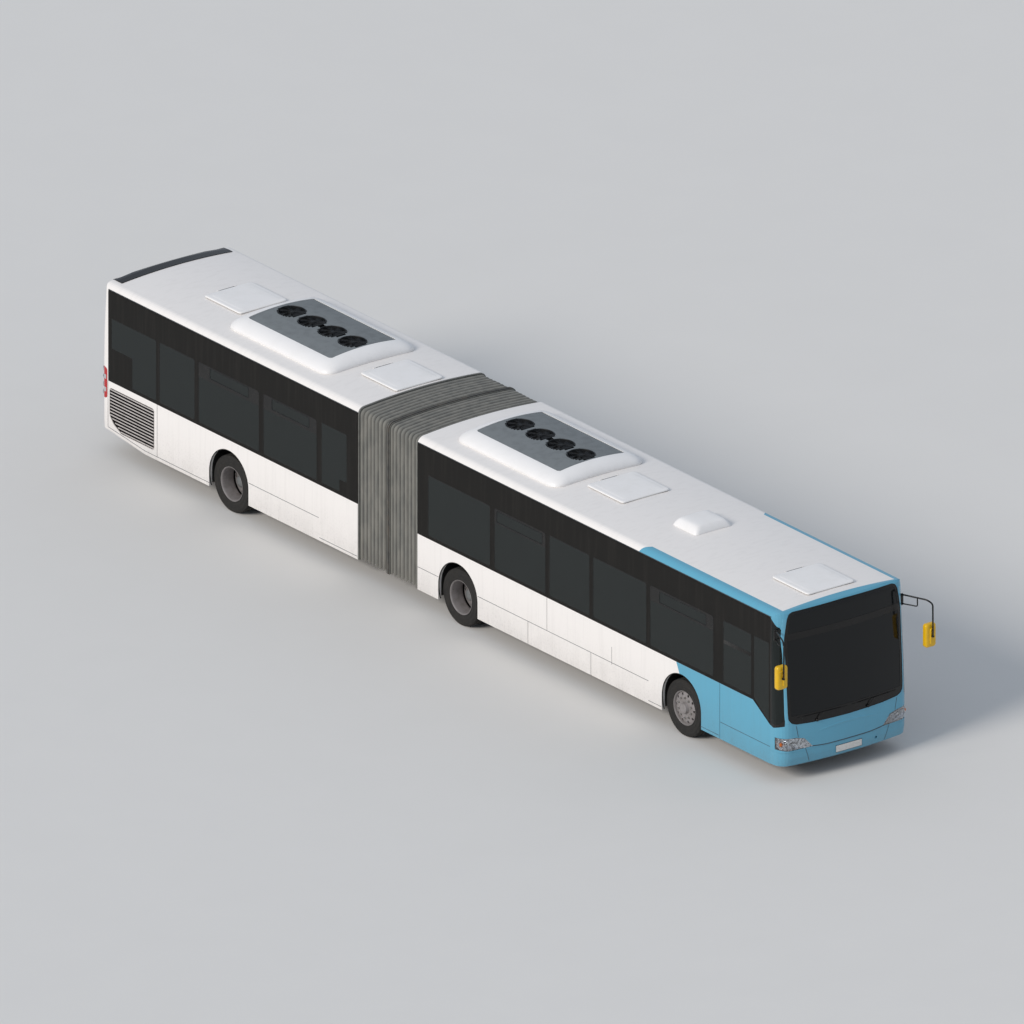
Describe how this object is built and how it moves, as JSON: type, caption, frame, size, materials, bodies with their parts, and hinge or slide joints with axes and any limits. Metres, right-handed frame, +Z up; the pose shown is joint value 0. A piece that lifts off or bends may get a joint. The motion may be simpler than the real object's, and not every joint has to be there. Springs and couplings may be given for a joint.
{
  "type": "articulated city bus",
  "caption": "Articulated city bus with a front section, a bellows and a rear section, double doors on the left side and steered front wheels.",
  "frame": {"origin": "centre of the bounding box at road level", "axes": "front of the bus faces -Y, +X is the bus's left side, +Z is up"},
  "size_m": [3.164, 18.205, 3.14],
  "materials": {
    "body_paint": "gloss",
    "roof_paint": "gloss",
    "front_paint": "gloss",
    "glass": "gloss",
    "chassis": "satin",
    "steel": "satin",
    "engine": "rough",
    "lamp": "gloss",
    "red_lens": "gloss",
    "roof_plastic": "satin",
    "mirror_yellow": "gloss",
    "dark_plastic": "matte",
    "seat_fabric": "matte",
    "grille": "satin",
    "bellows_rubber": "matte",
    "tyre": "matte",
    "rim": "satin",
    "door_frame": "gloss"
  },
  "bodies": {
    "front_section": {"front_floor": "chassis", "front_wall_right": "body_paint", "front_wall_left": "body_paint", "front_roof": "roof_paint", "front_mask": "front_paint", "front_bumper": "front_paint", "windscreen": "glass", "front_windows": "glass", "headlamps": "lamp", "front_air_conditioner": "roof_plastic", "roof_vent": "roof_plastic", "mirrors": "mirror_yellow", "dashboard": "dark_plastic", "front_seats": "seat_fabric", "driver_seat": "seat_fabric", "front_axle": "chassis", "middle_axle": "chassis", "turntable": "chassis"},
    "rear_section": {"rear_floor": "chassis", "cooling_tower": "chassis", "rear_wall_right": "body_paint", "rear_wall_left": "body_paint", "rear_roof": "roof_paint", "rear_end": "body_paint", "rear_windows": "glass", "tail_lamps": "red_lens", "rear_air_conditioner": "roof_plastic", "rear_seats": "seat_fabric", "rear_axle": "chassis", "engine": "engine", "side_grille": "grille"},
    "middle_frame": {"bellows_frame": "chassis", "bellows": "bellows_rubber"},
    "engine_lid": {"engine_lid": "body_paint"},
    "knuckle_left": {"knuckle_left": "steel"},
    "knuckle_right": {"knuckle_right": "steel"},
    "roof_hatch_1": {"roof_hatch_1": "roof_plastic"},
    "roof_hatch_2": {"roof_hatch_2": "roof_plastic"},
    "roof_hatch_3": {"roof_hatch_3": "roof_plastic"},
    "roof_hatch_4": {"roof_hatch_4": "roof_plastic"},
    "front_wheel_left": {"front_tyre_left": "tyre", "front_rim_left": "rim"},
    "front_wheel_right": {"front_tyre_right": "tyre", "front_rim_right": "rim"},
    "middle_wheel_left": {"middle_tyres_left": "tyre", "middle_rims_left": "rim"},
    "middle_wheel_right": {"middle_tyres_right": "tyre", "middle_rims_right": "rim"},
    "rear_wheel_left": {"rear_tyres_left": "tyre", "rear_rims_left": "rim"},
    "rear_wheel_right": {"rear_tyres_right": "tyre", "rear_rims_right": "rim"},
    "front_door_leaf_1": {"front_door_leaf_1": "door_frame"},
    "front_door_leaf_2": {"front_door_leaf_2": "door_frame"},
    "middle_door_leaf_1": {"middle_door_leaf_1": "door_frame"},
    "middle_door_leaf_2": {"middle_door_leaf_2": "door_frame"},
    "rear_door_leaf_1": {"rear_door_leaf_1": "door_frame"},
    "rear_door_leaf_2": {"rear_door_leaf_2": "door_frame"}
  },
  "joints": [
    {"name": "articulation", "type": "hinge", "parent": "front_section", "child": "rear_section", "pos_m": [0, 1.55, 0.29], "axis": [0, 0, 1], "range_deg": [-50, 50], "deforming": ["bellows"]},
    {"name": "middle_frame_turn", "type": "hinge", "parent": "front_section", "child": "middle_frame", "pos_m": [0, 1.55, 0.35], "axis": [0, 0, 1], "range_deg": [-25, 25]},
    {"name": "steer_left", "type": "hinge", "parent": "front_section", "child": "knuckle_left", "pos_m": [1.03, -6.1325, 0.478], "axis": [0, 0, 1], "range_deg": [-45, 45]},
    {"name": "steer_right", "type": "hinge", "parent": "front_section", "child": "knuckle_right", "pos_m": [-1.03, -6.1325, 0.478], "axis": [0, 0, 1], "range_deg": [-45, 45]},
    {"name": "front_wheel_left_spin", "type": "hinge", "parent": "knuckle_left", "child": "front_wheel_left", "pos_m": [1.092, -6.1325, 0.478], "axis": [1, 0, 0], "continuous": true},
    {"name": "front_wheel_right_spin", "type": "hinge", "parent": "knuckle_right", "child": "front_wheel_right", "pos_m": [-1.092, -6.1325, 0.478], "axis": [1, 0, 0], "continuous": true},
    {"name": "middle_wheel_left_spin", "type": "hinge", "parent": "front_section", "child": "middle_wheel_left", "pos_m": [1.092, -0.2875, 0.478], "axis": [1, 0, 0], "continuous": true},
    {"name": "middle_wheel_right_spin", "type": "hinge", "parent": "front_section", "child": "middle_wheel_right", "pos_m": [-1.092, -0.2875, 0.478], "axis": [1, 0, 0], "continuous": true},
    {"name": "rear_wheel_left_spin", "type": "hinge", "parent": "rear_section", "child": "rear_wheel_left", "pos_m": [1.092, 5.7025, 0.478], "axis": [1, 0, 0], "continuous": true},
    {"name": "rear_wheel_right_spin", "type": "hinge", "parent": "rear_section", "child": "rear_wheel_right", "pos_m": [-1.092, 5.7025, 0.478], "axis": [1, 0, 0], "continuous": true},
    {"name": "front_door_swing_1", "type": "hinge", "parent": "front_section", "child": "front_door_leaf_1", "pos_m": [1.232, -8.1615, 1.375], "axis": [0, 0, 1], "range_deg": [0, 90]},
    {"name": "front_door_swing_2", "type": "hinge", "parent": "front_section", "child": "front_door_leaf_2", "pos_m": [1.232, -6.9135, 1.375], "axis": [0, 0, 1], "range_deg": [-90, 0]},
    {"name": "middle_door_swing_1", "type": "hinge", "parent": "front_section", "child": "middle_door_leaf_1", "pos_m": [1.232, -3.7515, 1.375], "axis": [0, 0, 1], "range_deg": [0, 90]},
    {"name": "middle_door_swing_2", "type": "hinge", "parent": "front_section", "child": "middle_door_leaf_2", "pos_m": [1.232, -2.5035, 1.375], "axis": [0, 0, 1], "range_deg": [-90, 0]},
    {"name": "rear_door_swing_1", "type": "hinge", "parent": "rear_section", "child": "rear_door_leaf_1", "pos_m": [1.232, 3.2485, 1.375], "axis": [0, 0, 1], "range_deg": [0, 90]},
    {"name": "rear_door_swing_2", "type": "hinge", "parent": "rear_section", "child": "rear_door_leaf_2", "pos_m": [1.232, 4.4965, 1.375], "axis": [0, 0, 1], "range_deg": [-90, 0]},
    {"name": "engine_lid_hinge", "type": "hinge", "parent": "rear_section", "child": "engine_lid", "pos_m": [0, 9.0935, 1.292], "axis": [1, 0, 0], "range_deg": [0, 80]},
    {"name": "roof_hatch_1_hinge", "type": "hinge", "parent": "front_section", "child": "roof_hatch_1", "pos_m": [0, -7.4175, 2.967], "axis": [-1, 0, 0], "range_deg": [0, 85]},
    {"name": "roof_hatch_2_hinge", "type": "hinge", "parent": "front_section", "child": "roof_hatch_2", "pos_m": [0, -2.5775, 2.967], "axis": [-1, 0, 0], "range_deg": [0, 85]},
    {"name": "roof_hatch_3_hinge", "type": "hinge", "parent": "rear_section", "child": "roof_hatch_3", "pos_m": [0, 3.3425, 2.967], "axis": [-1, 0, 0], "range_deg": [0, 85]},
    {"name": "roof_hatch_4_hinge", "type": "hinge", "parent": "rear_section", "child": "roof_hatch_4", "pos_m": [0, 7.4225, 2.967], "axis": [-1, 0, 0], "range_deg": [0, 85]}
  ],
  "couplings": [
    {"joint": "middle_frame_turn", "follows": "articulation", "ratio": 0.5},
    {"joint": "steer_right", "follows": "steer_left", "ratio": 1},
    {"joint": "front_door_swing_2", "follows": "front_door_swing_1", "ratio": -1},
    {"joint": "middle_door_swing_2", "follows": "middle_door_swing_1", "ratio": -1},
    {"joint": "rear_door_swing_2", "follows": "rear_door_swing_1", "ratio": -1}
  ]
}
